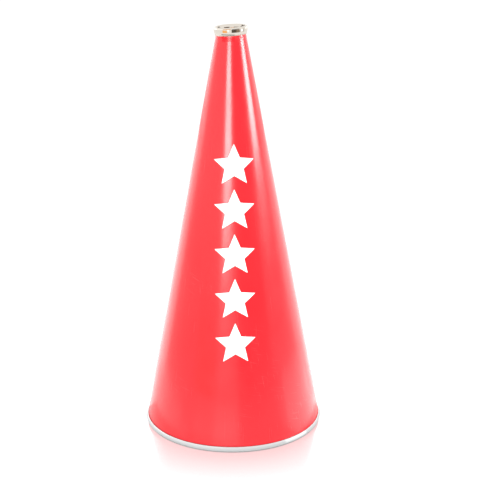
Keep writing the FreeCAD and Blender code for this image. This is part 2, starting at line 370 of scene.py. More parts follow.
def make_rim(material):
    """A channel with a hollow bead outside and a rolled-over inner leg, open at its butt joint."""
    crest = RIM_RADIUS - RIM_BEAD_DEPTH
    lip = skin_radius(RIM_HEIGHT, RIM_CLEARANCE)
    lip_under = RIM_HEIGHT - RIM_METAL - RIM_EDGE
    hidden = -SHEET_THICKNESS - RIM_CLEARANCE
    foot_inner = skin_radius(RIM_FOOT, hidden - RIM_METAL)
    leg_top = skin_radius(RIM_HEIGHT, hidden - RIM_METAL)
    leg_top_hidden = skin_radius(RIM_HEIGHT, hidden)
    rolled = (leg_top_hidden - leg_top) / 2
    hollow = crest - RIM_METAL / 2
    leg_foot = (skin_radius(RIM_METAL, hidden), RIM_METAL)
    outline = joined(
        [(lip, lip_under)],
        rounded((lip, RIM_HEIGHT - RIM_EDGE), (lip + RIM_EDGE, RIM_HEIGHT), lip, RIM_HEIGHT),
        arc((crest, RIM_HEIGHT), (RIM_RADIUS, RIM_HEIGHT / 2), (crest, 0), 25),
        rounded((foot_inner + RIM_FOOT, 0), (foot_inner, RIM_FOOT), foot_inner, 0, 8),
        straight((foot_inner, RIM_FOOT), (leg_top, RIM_HEIGHT - rolled), 5),
        arc(
            (leg_top, RIM_HEIGHT - rolled),
            (leg_top + rolled, RIM_HEIGHT),
            (leg_top_hidden, RIM_HEIGHT - rolled),
            7,
        ),
        straight((leg_top_hidden, RIM_HEIGHT - rolled), leg_foot, 4),
        arc(
            (hollow, RIM_METAL),
            (RIM_RADIUS - RIM_METAL, (RIM_METAL + lip_under) / 2),
            (hollow, lip_under),
            9,
        ),
    )

    gap = RIM_GAP / RIM_RADIUS
    rim = lathe("bell_rim_metal", outline, RIM_SEGMENTS, gap=gap, wobble=crimped)
    # The table mirrors a red band in the rim's place: a painted reflection, from a glowing card.
    rim.visible_glossy = False
    settle(rim, material, "satin_aluminium", "bell_rim")
    return rim


LIP_RADIUS = 2.1 * MM
THROAT_METAL = 0.8 * MM
FIT_GAP = 0.1 * MM
THROAT_HIGH = SHEET_HIGH + 2 * MM
FLARE_TURN = math.radians(40)
WAIST_BELOW_TOP = 6.0 * MM
WAIST_TUCK = 0.15 * MM
BAND_TUCK = 0.9 * MM
WALL_END_ROUNDING = 0.25 * MM
NECK_SEGMENTS = 256
COLLAR_EDGE_HEIGHT = 0.75 * MM
COLLAR_DROP = 0.2 * MM
COLLAR_UPSTAND_RADIUS = 19.5 * MM
COLLAR_FOOT_ROUNDING = 0.45 * MM
COLLAR_TOP_ROUNDING = 0.08 * MM
ASKEW = 0.055
ASKEW_FROM = SHEET_HIGH - 4 * MM


def set_askew(piece, fixed_height, carried_height):
    """Lean the part of a mouthpiece piece that stands proud: it sits a little higher towards +X."""
    for vertex in piece.data.vertices:
        share = (vertex.co.z - fixed_height) / (carried_height - fixed_height)
        across, above = vertex.co.x, max(vertex.co.z - carried_height, 0.0)
        vertex.co.x -= ASKEW * above
        vertex.co.z += ASKEW * across * min(max(share, 0.0), 1.0)


def flare_belly(start, end, turn):
    """Middle point of the arc between two points that leans out by this turn at its end."""
    lean = math.atan2(end[0] - start[0], end[1] - start[1])
    sagitta = math.dist(start, end) / 2 * math.tan((turn - lean) / 2)
    middle_radius = (start[0] + end[0]) / 2 - sagitta * math.cos(lean)
    middle_height = (start[1] + end[1]) / 2 + sagitta * math.sin(lean)
    return middle_radius, middle_height


def wall_outline(reach, low, throat_high, band_low, count):
    """One face of the mouthpiece wall, from the throat's foot over the lip to the band's foot.

    Reach is how far this face lies inside the metal, away from the face that is seen.
    """
    throat = -SHEET_THICKNESS - FIT_GAP - THROAT_METAL + reach
    lip_height = TOTAL_HEIGHT - LIP_RADIUS
    lip_middle = RING_RADIUS - LIP_RADIUS
    lip = LIP_RADIUS - reach
    start = (skin_radius(throat_high, throat), throat_high)
    flare_end = (lip_middle - lip * math.cos(FLARE_TURN), lip_height + lip * math.sin(FLARE_TURN))
    waist = (RING_RADIUS - WAIST_TUCK - reach, TOTAL_HEIGHT - WAIST_BELOW_TOP)
    band = (RING_RADIUS - WAIST_TUCK / 4 - reach, (lip_height + waist[1]) / 2)
    return joined(
        straight((skin_radius(low, throat), low), start, 2 * count),
        arc(start, flare_belly(start, flare_end, FLARE_TURN), flare_end, count),
        arc(flare_end, (lip_middle, lip_height + lip), (RING_RADIUS - reach, lip_height), 2 * count),
        arc((RING_RADIUS - reach, lip_height), band, waist, count),
        straight(waist, (RING_RADIUS - BAND_TUCK - reach, band_low), count),
    )


def make_mouthpiece(material):
    """One spun wall: throat, rolled lip and outer band, with a rounded end at either foot."""
    low = RING_BOX[0].z
    band_low = COLLAR_BOX[0].z - COLLAR_DROP + COLLAR_EDGE_HEIGHT + FIT_GAP
    ends = (low + WALL_END_ROUNDING, THROAT_HIGH, band_low + WALL_END_ROUNDING)
    seen = wall_outline(0.0, *ends, 12)
    hidden = wall_outline(THROAT_METAL, *ends, 8)
    foot = (seen[-1][0] - THROAT_METAL / 2, band_low)
    throat_foot = (seen[0][0] + THROAT_METAL / 2, low)
    outline = joined(
        seen,
        arc(seen[-1], foot, hidden[-1], 7),
        hidden[::-1],
        arc(hidden[0], throat_foot, seen[0], 7),
    )
    ring = lathe("mouthpiece_ring_metal", outline, NECK_SEGMENTS)
    set_askew(ring, low, ASKEW_FROM)
    settle(ring, material, "chrome_plate", "mouthpiece_ring")
    return ring


def make_collar(material):
    """The band that grips the neck: a low edge that is seen, and an upstand inside the ring."""
    low, high = COLLAR_BOX[0].z - COLLAR_DROP, COLLAR_BOX[1].z
    radius = COLLAR_BOX[1].x
    top = low + COLLAR_EDGE_HEIGHT
    foot, crest = COLLAR_FOOT_ROUNDING, COLLAR_TOP_ROUNDING
    outline = joined(
        [(skin_radius(low, FIT_GAP), low)],
        rounded((radius - foot, low), (radius, low + foot), radius, low, 10),
        rounded((radius, top - crest), (radius - crest, top), radius, top, 4),
        [(COLLAR_UPSTAND_RADIUS, top), (COLLAR_UPSTAND_RADIUS, high)],
        [(skin_radius(high, FIT_GAP), high)],
    )
    collar = lathe("mouthpiece_collar_metal", outline, NECK_SEGMENTS)
    set_askew(collar, low - LIP_RADIUS, low)
    settle(collar, material, "chrome_plate", "mouthpiece_collar")
    return collar


# ---------------------------------------------------------------- rivets

WASHER_RADIUS = 4.5 * MM
WASHER_THICKNESS = 0.6 * MM
SHANK_RADIUS = 1.6 * MM
TAIL_RADIUS = 2.6 * MM
TAIL_HEIGHT = 0.8 * MM
HEAD_HEIGHT = 1.3 * MM
HEAD_EDGE_LOW = 0.02 * MM
HEAD_EDGE_HIGH = 0.25 * MM
HEAD_BORE = 1.05 * MM
MANDREL_RADIUS = 0.8 * MM
WASHER_EDGE = 0.1 * MM
HOLE_CLEARANCE = 0.05 * MM
RIVET_SEGMENTS = 48
RIVET_TURN = 1.1  # radians from one rivet to the next, so that they don't look copied
WASHER_TURN = 0.7


def on_the_seam(height, sink=0.0):
    """Place of a rivet: its local +Z stands square on the lap, at the back of the cone."""
    radius = skin_radius(height, SHEET_THICKNESS + ripple(0.0, height) - sink)
    outward = Vector((0, COS_HALF, SIN_HALF))
    side = Vector((-1, 0, 0))
    along = outward.cross(side)
    turn = Matrix((side, along, outward)).transposed().to_4x4()
    return Matrix.Translation((0, radius, height)) @ turn


def washer_seat(height):
    """Depth under the lap's outer face where a flat washer meets the hollow inner wall."""
    return 2 * SHEET_THICKNESS + WASHER_RADIUS ** 2 / (2 * skin_radius(height, -SHEET_THICKNESS))


def rivet_outline(seat):
    """Blind rivet: a low dome with a hollow centre, its mandrel's broken end, and a spread tail."""
    bore_top = (HEAD_BORE + 0.15 * MM, HEAD_HEIGHT)
    shoulder = (RIVET_HEAD_RADIUS, HEAD_EDGE_HIGH)
    underside = (RIVET_HEAD_RADIUS - 0.2 * MM, HEAD_EDGE_LOW)
    broken_end = (MANDREL_RADIUS - 0.15 * MM, HEAD_HEIGHT - 0.5 * MM)
    return joined(
        straight((0.0, HEAD_HEIGHT - 0.55 * MM), broken_end, 3),
        [(MANDREL_RADIUS, HEAD_HEIGHT - 0.65 * MM), (HEAD_BORE, HEAD_HEIGHT - 0.95 * MM)],
        [(HEAD_BORE, HEAD_HEIGHT - 0.12 * MM)],
        arc(bore_top, (2.8 * MM, HEAD_HEIGHT - 0.38 * MM), shoulder, 10),
        rounded(shoulder, underside, RIVET_HEAD_RADIUS, HEAD_EDGE_LOW, 4),
        [(SHANK_RADIUS, 0.0), (SHANK_RADIUS, -seat), (TAIL_RADIUS - 0.1 * MM, -seat)],
        arc(
            (TAIL_RADIUS, -seat - 0.15 * MM),
            (TAIL_RADIUS - 0.2 * MM, -seat - 0.55 * MM),
            (TAIL_RADIUS - 0.7 * MM, -seat - TAIL_HEIGHT),
            6,
        ),
        [(0.0, -seat - TAIL_HEIGHT)],
    )


def washer_outline():
    """A flat washer with rounded edges, its upper face at height 0."""
    bore = SHANK_RADIUS + HOLE_CLEARANCE
    rim, edge = WASHER_RADIUS, WASHER_EDGE
    low, high = -WASHER_THICKNESS, 0.0
    return joined(
        rounded((rim - edge, low), (rim, low + edge), rim, low, 4),
        rounded((rim, high - edge), (rim - edge, high), rim, high, 4),
        rounded((bore + edge, high), (bore, high - edge), bore, high, 4),
        rounded((bore, low + edge), (bore + edge, low), bore, low, 4),
    )


def make_rivets(material):
    """The row of rivets down the lap, and the row of washers inside it."""
    rivets, washers = [], []
    for index, height in enumerate(rivet_heights()):
        seat = washer_seat(height)
        rivet = lathe("rivet_part", rivet_outline(seat + WASHER_THICKNESS), RIVET_SEGMENTS)
        rivet_turn = Matrix.Rotation(index * RIVET_TURN, 4, "Z")
        rivet.matrix_world = on_the_seam(height) @ rivet_turn
        rivets.append(rivet)
        washer = lathe("washer_part", washer_outline(), RIVET_SEGMENTS)
        washer_turn = Matrix.Rotation(index * WASHER_TURN, 4, "Z")
        washer.matrix_world = on_the_seam(height, sink=seat) @ washer_turn
        washers.append(washer)
    bpy.context.view_layer.update()
    rivet_row = joined_piece("seam_rivet_row", rivets)
    settle(rivet_row, material, "rivet_metal", "seam_rivets")
    washer_row = joined_piece("seam_washer_row", washers)
    settle(washer_row, material, "rivet_metal", "seam_rivet_washers")


# ---------------------------------------------------------------- vinyl stars

STAR_POINTS = 5
STAR_RADIUS = 27 * MM
STAR_INNER_RATIO = 0.46
STAR_FILM = 0.25 * MM
STAR_SINK = 0.05 * MM
STAR_CORNER = 0.7 * MM
STAR_CORNER_STEPS = 5
STAR_EDGE_STEPS = 14
STAR_BEVEL = 0.12 * MM
STAR_FACE_INSET = 0.15 * MM
STAR_FACE_RINGS = 14
STAR_BACK_RINGS = 6
STAR_CREASE = 50


def star_outline():
    """A flat star as (across, down) points with slightly rounded corners, and its middle."""
    corners = []
    for index in range(2 * STAR_POINTS):
        radius = STAR_RADIUS if index % 2 == 0 else STAR_RADIUS * STAR_INNER_RATIO
        angle = math.radians(180 / STAR_POINTS * index)
        corners.append(Vector((radius * math.sin(angle), -radius * math.cos(angle))))
    shift = Vector((0, (max(c.y for c in corners) + min(c.y for c in corners)) / 2))
    points = []
    befores = corners[-1:] + corners[:-1]
    afters = corners[1:] + corners[:1]
    for before, corner, after in zip(befores, corners, afters):
        start = corner + (before - corner).normalized() * STAR_CORNER
        end = corner + (after - corner).normalized() * STAR_CORNER
        for share in np.linspace(0, 1, STAR_CORNER_STEPS):
            pulled = corner * 2 * share * (1 - share)
            points.append(start * (1 - share) ** 2 + pulled + end * share ** 2)
        edge_end = after + (corner - after).normalized() * STAR_CORNER
        for share in np.linspace(0, 1, STAR_EDGE_STEPS)[1:-1]:
            points.append(end.lerp(edge_end, share))
    return [point - shift for point in points], -shift


def wrapped_point(flat, centre_height, column_turn, offset):
    """Place on the cone of a point of a flat sticker that is wrapped round the front."""
    centre_slant = skin_radius(centre_height) / SIN_HALF
    slant = math.hypot(flat.x, centre_slant + flat.y)
    turn = math.atan2(flat.x, centre_slant + flat.y) / SIN_HALF + column_turn
    height = centre_height - (slant - centre_slant) * COS_HALF
    angle = math.pi - turn
    radius = skin_radius(height, offset + ripple(angle, height))
    return radius * math.sin(angle), radius * math.cos(angle), height


def make_star(node, material):
    """One film star, wrapped on the cone where its CAD node is."""
    low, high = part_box(node)
    centre_height = (low.z + high.z) / 2
    column_turn = math.asin((low.x + high.x) / 2 / skin_radius(centre_height))
    outline, middle = star_outline()
    shrink = 1 - STAR_FACE_INSET / STAR_RADIUS
    rings = [(share * shrink, STAR_FILM) for share in np.linspace(0, 1, STAR_FACE_RINGS)]
    rings += [(1.0, STAR_FILM - STAR_BEVEL), (1.0, -STAR_SINK)]
    rings += [(share, -STAR_SINK) for share in np.linspace(1, 0, STAR_BACK_RINGS)[1:]]
    grid, uv = [], []
    for share, offset in rings:
        flats = [middle + (point - middle) * share for point in outline]
        grid.append([wrapped_point(flat, centre_height, column_turn, offset) for flat in flats])
        uv.append([tuple(flat) for flat in flats + flats[:1]])
    star = piece_from_grid(node + "_film", np.array(grid), np.array(uv), False, False, STAR_CREASE)
    settle(star, material, "white_vinyl", node)


# ---------------------------------------------------------------- materials

class Shader:
    """A principled material with short ways to add the nodes that its detail needs."""

    def __init__(self, name, **values):
        self.material = bpy.data.materials.new(name)
        self.material.use_nodes = True
        self.tree = self.material.node_tree
        self.surface = self.tree.nodes["Principled BSDF"]
        for socket, value in values.items():
            self.surface.inputs[socket.replace("_", " ")].default_value = value

    def add(self, kind, **settings):
        """A new node of this kind, with these settings."""
        node = self.tree.nodes.new(kind)
        for key, value in settings.items():
            setattr(node, key, value)
        return node

    def link(self, output, target):
        self.tree.links.new(output, target)

    def coordinates(self, source, scale, turn=0.0):
        """Texture coordinates, turned about Z by degrees; scale is about the features per metre."""
        texture = self.add("ShaderNodeTexCoord")
        mapping = self.add("ShaderNodeMapping", vector_type="TEXTURE")
        mapping.inputs["Rotation"].default_value = (0, 0, math.radians(turn))
        mapping.inputs["Scale"].default_value = [1 / size for size in scale]
        self.link(texture.outputs[source], mapping.inputs["Vector"])
        return mapping.outputs["Vector"]

    def noise(self, vector, detail=3.0, roughness=0.55):
        """Fractal noise, mostly from 0.3 to 0.7."""
        texture = self.add("ShaderNodeTexNoise")
        texture.inputs["Scale"].default_value = 1.0
        texture.inputs["Detail"].default_value = detail
        texture.inputs["Roughness"].default_value = roughness
        self.link(vector, texture.inputs["Vector"])
        return texture.outputs["Fac"]

    def ranged(self, value, low, high, to_low, to_high):
        """Map a value from one range to another, clamped."""
        node = self.add("ShaderNodeMapRange")
        numbers = {"From Min": low, "From Max": high, "To Min": to_low, "To Max": to_high}
        for socket, number in numbers.items():
            node.inputs[socket].default_value = number
        self.link(value, node.inputs["Value"])
        return node.outputs["Result"]

    def sum(self, first, second, operation="ADD"):
        """First and second, added or combined by another operation; second may be a number."""
        node = self.add("ShaderNodeMath", operation=operation)
        self.link(first, node.inputs[0])
        if isinstance(second, (int, float)):
            node.inputs[1].default_value = second
        else:
            self.link(second, node.inputs[1])
        return node.outputs["Value"]

    def colours(self, value, first, second):
        """Blend from the first colour to the second as value goes from 0 to 1."""
        node = self.add("ShaderNodeMix", data_type="RGBA")
        node.inputs["A"].default_value = (*first, 1)
        node.inputs["B"].default_value = (*second, 1)
        self.link(value, node.inputs["Factor"])
        return node.outputs["Result"]

    def whitened(self, colour, share):
        """The colour blended towards white by this share."""
        node = self.add("ShaderNodeMix", data_type="RGBA")
        self.link(colour, node.inputs["A"])
        node.inputs["B"].default_value = (1, 1, 1, 1)
        self.link(share, node.inputs["Factor"])
        return node.outputs["Result"]

    def dimmed(self, colour, share):
        """The colour multiplied by this share."""
        node = self.add("ShaderNodeVectorMath", operation="SCALE")
        self.link(colour, node.inputs[0])
        self.link(share, node.inputs["Scale"])
        return node.outputs["Vector"]

    def bump(self, height, strength, distance, after=None):
        """Normals of a relief this deep, on top of an earlier bump's normals if given."""
        node = self.add("ShaderNodeBump")
        node.inputs["Strength"].default_value = strength
        node.inputs["Distance"].default_value = distance
        self.link(height, node.inputs["Height"])
        if after is not None:
            self.link(after, node.inputs["Normal"])
        return node.outputs["Normal"]

    def to(self, output, socket):
        """Link an output to a socket of the material's surface."""
        self.link(output, self.surface.inputs[socket])


RED_DARK = (0.70, 0.008, 0.014)
RED_LIGHT = (0.74, 0.010, 0.018)
RIM_SHADE_HEIGHT = 1.2 * MM
RIM_SHADE_SHARE = 0.45
SCRATCH_WHITE = 0.06


def red_plastic():
    """Glossy rolled plastic: rubbed and nicked in patches, streaked, and darkened just above the rim by
    painted shade.
    """
    shader = Shader("red_polyethylene", Roughness=0.2, IOR=1.5)
    clouds = shader.noise(shader.coordinates("Object", (9, 9, 5)), 4)
    colour = shader.colours(shader.ranged(clouds, 0.3, 0.7, 0, 1), RED_DARK, RED_LIGHT)
    place = shader.add("ShaderNodeSeparateXYZ")
    shader.link(shader.add("ShaderNodeTexCoord").outputs["Object"], place.inputs["Vector"])
    # Painted shade: the colour darkens in a thin band just above the rim, standing for the shade where
    # the cone meets the rim.
    rim_shade_top = RIM_HEIGHT + RIM_SHADE_HEIGHT
    rim_shade_factor = shader.ranged(place.outputs["Z"], RIM_HEIGHT, rim_shade_top, RIM_SHADE_SHARE, 1.0)
    # Light scratches: long rubs round the cone and short nicks up it, in patches.
    patches = shader.noise(shader.coordinates("Object", (14, 14, 9)), 2)
    patches = shader.ranged(patches, 0.55, 0.66, 0.0, 1.0)
    rubs = shader.noise(shader.coordinates("UV", (28, 1500, 1), 14), 1)
    nicks = shader.noise(shader.coordinates("UV", (1300, 40, 1), -9), 1)
    marks = shader.sum(shader.ranged(rubs, 0.69, 0.73, 0, 1), shader.ranged(nicks, 0.70, 0.74, 0, 1))
    marks = shader.sum(marks, patches, "MULTIPLY")
    whiteness = shader.sum(marks, SCRATCH_WHITE, "MULTIPLY")
    shader.to(shader.whitened(shader.dimmed(colour, rim_shade_factor), whiteness), "Base Color")
    handling = shader.noise(shader.coordinates("Object", (30, 30, 18)), 5, 0.65)
    streaks = shader.noise(shader.coordinates("UV", (700, 9, 1)), 3, 0.6)
    base = shader.ranged(handling, 0.35, 0.7, 0.19, 0.27)
    scuffs = shader.ranged(streaks, 0.62, 0.75, 0.0, 0.08)
    shader.to(shader.sum(base, scuffs), "Roughness")
    # Relief: broad waves and fine bands from rolling, and the moulded skin's orange peel.
    peel = shader.noise(shader.coordinates("Object", (900, 900, 900)), 2)
    rolling = shader.noise(shader.coordinates("Object", (6, 6, 110)), 3)
    bands = shader.noise(shader.coordinates("Object", (3, 3, 420)), 2)
    normal = shader.bump(rolling, 0.4, 0.05 * MM)
    normal = shader.bump(bands, 0.45, 0.03 * MM, normal)
    normal = shader.bump(peel, 0.12, 0.03 * MM, normal)
    shader.to(normal, "Normal")
    return shader.material


def white_vinyl():
    """Satin film with a fine grain and slightly uneven gloss."""
    shader = Shader("white_vinyl_film", Roughness=0.38, IOR=1.46)
    clouds = shader.noise(shader.coordinates("Object", (60, 60, 60)), 4)
    shader.to(shader.colours(clouds, (0.93, 0.93, 0.92), (0.97, 0.97, 0.97)), "Base Color")
    handling = shader.noise(shader.coordinates("Object", (90, 90, 90)), 4)
    shader.to(shader.ranged(handling, 0.3, 0.7, 0.32, 0.45), "Roughness")
    grain = shader.noise(shader.coordinates("Object", (1600, 1600, 1600)), 2)
    shader.to(shader.bump(grain, 0.15, 0.02 * MM), "Normal")
    return shader.material


def chrome_plate():
    """Bright plating with smudges, scratches round it and slight waves from spinning."""
    shader = Shader("chrome_plate", Metallic=1.0, Roughness=0.06)
    clouds = shader.noise(shader.coordinates("Object", (120, 120, 120)), 4)
    shader.to(shader.colours(clouds, (0.70, 0.645, 0.57), (0.75, 0.695, 0.62)), "Base Color")
    smudges = shader.noise(shader.coordinates("Object", (160, 160, 160)), 5, 0.65)
    shader.to(shader.ranged(smudges, 0.42, 0.72, 0.05, 0.16), "Roughness")
    scratches = shader.noise(shader.coordinates("UV", (260, 9000, 1)), 3)
    spinning = shader.noise(shader.coordinates("Object", (420, 420, 420)), 2)
    normal = shader.bump(spinning, 0.12, 0.05 * MM)
    shader.to(shader.bump(scratches, 0.05, 0.02 * MM, normal), "Normal")
    return shader.material


def worn_metal(name, roughness, clouds_size, colours, wear_size, wear_range, relief):
    """Cloudy metal whose fine wear shows in its gloss and, by (strength, depth), in its relief."""
    shader = Shader(name, Metallic=1.0, Roughness=roughness)
    clouds = shader.noise(shader.coordinates("Object", (clouds_size,) * 3), 4)
    shader.to(shader.colours(clouds, *colours), "Base Color")
    wear = shader.noise(shader.coordinates("Object", (wear_size,) * 3), 4, 0.65)
    shader.to(shader.ranged(wear, 0.3, 0.7, *wear_range), "Roughness")
    shader.to(shader.bump(wear, *relief), "Normal")
    return shader.material


# Darker, more olive and rougher than the mouthpiece's chrome, so that the collar shows as a dim line
# under the mouthpiece.
def dull_chrome():
    colours = ((0.58, 0.57, 0.50), (0.66, 0.65, 0.58))
    return worn_metal("dull_chrome", 0.35, 150, colours, 500, (0.28, 0.42), (0.15, 0.03 * MM))


def rivet_metal():
    colours = ((0.70, 0.71, 0.71), (0.82, 0.83, 0.83))
    return worn_metal("rivet_aluminium", 0.3, 400, colours, 900, (0.22, 0.42), (0.2, 0.04 * MM))


def satin_aluminium():
    """Metal brushed round the rim, with small dents."""
    shader = Shader("satin_aluminium", Metallic=1.0, Roughness=0.32)
    clouds = shader.noise(shader.coordinates("Object", (45, 45, 160)), 4)
    shader.to(shader.colours(clouds, (0.72, 0.73, 0.73), (0.79, 0.80, 0.80)), "Base Color")
    brushing = shader.noise(shader.coordinates("UV", (90, 6500, 1)), 4, 0.7)
    shader.to(shader.ranged(brushing, 0.3, 0.7, 0.26, 0.42), "Roughness")
    dents = shader.noise(shader.coordinates("Object", (70, 70, 120)), 3)
    normal = shader.bump(dents, 0.3, 0.12 * MM)
    shader.to(shader.bump(brushing, 0.25, 0.02 * MM, normal), "Normal")
    return shader.material


# ---------------------------------------------------------------- floor, light and camera

def grey(level):
    return (level, level, level)


FLOOR_RADIUS = 9.0
FLOOR_DROP = 0.05 * MM
FLOOR_GREY = 0.36
FLOOR_GLOW = 0.7
MIRROR_INNER = 1.0  # the table mirrors most at this share of the rim's radius
MIRROR_OUTER = 1.66  # and nothing beyond this one
MIRROR_SHARE = 0.37
MIRROR_ROUGHNESS = 0.12


def use_mix(shader, share, first, second):
    """Make the material's surface a mix of two shader outputs by this share of the second."""
    mix = shader.add("ShaderNodeMixShader")
    shader.link(share, mix.inputs["Fac"])
    shader.link(first, mix.inputs[1])
    shader.link(second, mix.inputs[2])
    surface = shader.tree.nodes["Material Output"].inputs["Surface"]
    shader.link(mix.outputs["Shader"], surface)


def make_floor():
    """A white, softly lit table top that mirrors the bell faintly, close to where it stands."""
    mesh = bpy.data.meshes.new("floor")
    work = bmesh.new()
    bmesh.ops.create_circle(work, cap_ends=True, segments=96, radius=FLOOR_RADIUS)
    work.to_mesh(mesh)
    work.free()
    floor = bpy.data.objects.new("floor", mesh)
    floor.location.z = -FLOOR_DROP
    bpy.context.scene.collection.objects.link(floor)
    shader = Shader("white_table", Base_Color=(*grey(FLOOR_GREY), 1), Emission_Color=(1, 1, 1, 1))
    shader.surface.inputs["Emission Strength"].default_value = FLOOR_GLOW
    shader.surface.inputs["Specular IOR Level"].default_value = 0.0
    place = shader.add("ShaderNodeTexCoord")
    distance = shader.add("ShaderNodeVectorMath", operation="LENGTH")
    shader.link(place.outputs["Object"], distance.inputs[0])
    glossy = shader.add("ShaderNodeBsdfGlossy")
    glossy.inputs["Color"].default_value = (1, 1, 1, 1)
    glossy.inputs["Roughness"].default_value = MIRROR_ROUGHNESS
    reach = (MIRROR_INNER * RIM_RADIUS, MIRROR_OUTER * RIM_RADIUS)
    share = shader.ranged(distance.outputs["Value"], *reach, MIRROR_SHARE, 0.0)
    use_mix(shader, share, shader.surface.outputs["BSDF"], glossy.outputs["BSDF"])
    mesh.materials.append(shader.material)
    floor.visible_glossy = False
    return floor


def keep_light_off(holder, *pieces):
    """This light doesn't reach these pieces, so they show neither its glare nor shadows from it."""
    receivers = bpy.data.collections.new(holder.name + "_receivers")
    for piece in pieces:
        receivers.objects.link(piece)
    for entry in receivers.collection_objects:
        entry.light_linking.link_state = "EXCLUDE"
    holder.light_linking.receiver_collection = receivers


def panel_light(name, turn, distance, low, high, width, power, lean=0.0):
    """An upright soft box that faces the axis; turn and lean are in degrees."""
    light = bpy.data.lights.new(name, "AREA")
    light.shape = "RECTANGLE"
    light.size = width
    light.size_y = high - low
    light.energy = power
    holder = bpy.data.objects.new(name, light)
    angle = math.radians(turn)
    place = Vector((distance * math.sin(angle), -distance * math.cos(angle), (low + high) / 2))
    holder.location = place
    aim = Vector((0, 0, place.z)) - place
    facing = aim.to_track_quat("-Z", "Y").to_matrix()
    holder.rotation_euler = (facing @ Matrix.Rotation(math.radians(lean), 3, "Z")).to_euler()
    holder.visible_camera = False
    bpy.context.scene.collection.objects.link(holder)
    return holder


def reflection_card(name, turns, foot, top, colour, top_colour=None, one_sided=False):
    """A curved card that shows only in what is shiny; foot and top are (distance, height).

    An upright card can fade to another colour at its top. A one-sided card is seen only from
    the axis.
    """
    grid = []
    for turn in np.radians(np.linspace(*turns, CARD_COLUMNS)):
        for distance, height in (foot, top):
            grid.append((distance * math.sin(turn), -distance * math.cos(turn), height))
    faces = [(i, i + 2, i + 3, i + 1) for i in range(0, len(grid) - 2, 2)]
    mesh = bpy.data.meshes.new(name)
    mesh.from_pydata(grid, [], faces)
    shader = Shader(name, Base_Color=(0, 0, 0, 1), Emission_Color=(*colour, 1))
    shader.surface.inputs["Emission Strength"].default_value = 1.0
    shader.surface.inputs["Specular IOR Level"].default_value = 0.0
    if top_colour is not None:
        place = shader.add("ShaderNodeSeparateXYZ")
        shader.link(shader.add("ShaderNodeTexCoord").outputs["Object"], place.inputs["Vector"])
        share = shader.ranged(place.outputs["Z"], foot[1], top[1], 0.0, 1.0)
        shader.to(shader.colours(share, colour, top_colour), "Emission Color")
    if one_sided:
        back = shader.add("ShaderNodeNewGeometry").outputs["Backfacing"]
        clear = shader.add("ShaderNodeBsdfTransparent").outputs["BSDF"]
        use_mix(shader, back, clear, shader.surface.outputs["BSDF"])
    mesh.materials.append(shader.material)
    card = bpy.data.objects.new(name, mesh)
    for ray in ("camera", "diffuse", "shadow", "transmission", "volume_scatter"):
        setattr(card, "visible_" + ray, False)
    bpy.context.scene.collection.objects.link(card)


# The tables below place the cards. Turns are in degrees from the front towards +X, distances
# from the axis and heights are in metres, and a colour is a radiance, where 1 is full white.
CARD_COLUMNS = 181
CARD_FLOOR = -0.2 * MM
THROAT_SHADE_DARK = (0.2, 0.17, 0.15)
THROAT_SHADE_DIM = (0.45, 0.4, 0.36)
THROAT_SHADE_BROWN = (0.16, 0.1, 0.08)
MIRRORED_BAND_RED = (0.95, 0.075, 0.085)
THROAT_FOOT = TOTAL_HEIGHT - 8 * MM
THROAT_FAR = 14.5 * MM
THROAT_SIDE = 17.2 * MM
THROAT_BACK = 16.4 * MM
MIRRORED_BAND_RADIUS = RIM_RADIUS - RIM_BEAD_DEPTH - 0.1 * MM
GLOW_DISTANCE = 0.25
RIM_SHIELD = RIM_RADIUS + 2 * MM
LIP_SHIELD = 24.5 * MM

# (name, turns, distance, (foot, top), colour): walls of the room, small cards in the mouth and
# by the lip, with painted shade in the mouth's dark ones, and the glowing red band that the table
# mirrors in the rim's place, a painted reflection.
UPRIGHT_CARDS = (
    ("dim_side", (9, 60), 5.0, (0.0, 2.6), grey(0.45)),
    ("left_wall", (-108, -30), 3.0, (0.3, 1.6), grey(1.55)),
    ("back_right", (113, 180), 3.0, (0.2, 1.6), grey(1.7)),
    ("back_left", (180, 252), 3.0, (0.2, 1.6), grey(2.6)),
    ("low_back_right", (105, 180), 0.35, (0.0, 0.345), grey(1.75)),
    ("low_back_left", (180, 252), 0.35, (0.0, 0.345), grey(2.1)),
    ("right_window", (74, 88), 1.0, (0.335, 0.43), grey(2.2)),
    # Painted shade: these dark cards in the mouth stand for the shade inside the throat.
    ("throat_back_left", (186, 208), THROAT_FAR, (THROAT_FOOT, TOTAL_HEIGHT - 2.1 * MM), THROAT_SHADE_BROWN),
    ("throat_back_right", (140, 168), THROAT_FAR, (THROAT_FOOT, TOTAL_HEIGHT - 2.1 * MM), THROAT_SHADE_DIM),
    ("throat_far_left", (220, 245), THROAT_FAR, (THROAT_FOOT, TOTAL_HEIGHT - 1.2 * MM), THROAT_SHADE_BROWN),
    ("throat_far_right", (108, 134), THROAT_FAR, (THROAT_FOOT, TOTAL_HEIGHT - 1.6 * MM), THROAT_SHADE_BROWN),
    ("throat_right", (60, 128), THROAT_SIDE, (THROAT_FOOT, TOTAL_HEIGHT + 1.8 * MM), THROAT_SHADE_DARK),
    ("throat_left", (-125, -65), THROAT_SIDE, (THROAT_FOOT, TOTAL_HEIGHT - 0.9 * MM), THROAT_SHADE_DIM),
    ("lip_warm", (-44, 0), 60 * MM, (TOTAL_HEIGHT + 3 * MM, TOTAL_HEIGHT + 40 * MM), (1.0, 0.58, 0.3)),
    ("strip_shade", (-40, 15), 23.5 * MM, (TOTAL_HEIGHT - 16 * MM, TOTAL_HEIGHT - 10.2 * MM), grey(0.05)),
    # Painted reflection: a glowing red band that the table mirrors where the rim would be.
    ("mirrored_red_band", (0, 360), MIRRORED_BAND_RADIUS, (0.0, RIM_HEIGHT - 0.2 * MM), MIRRORED_BAND_RED),
)

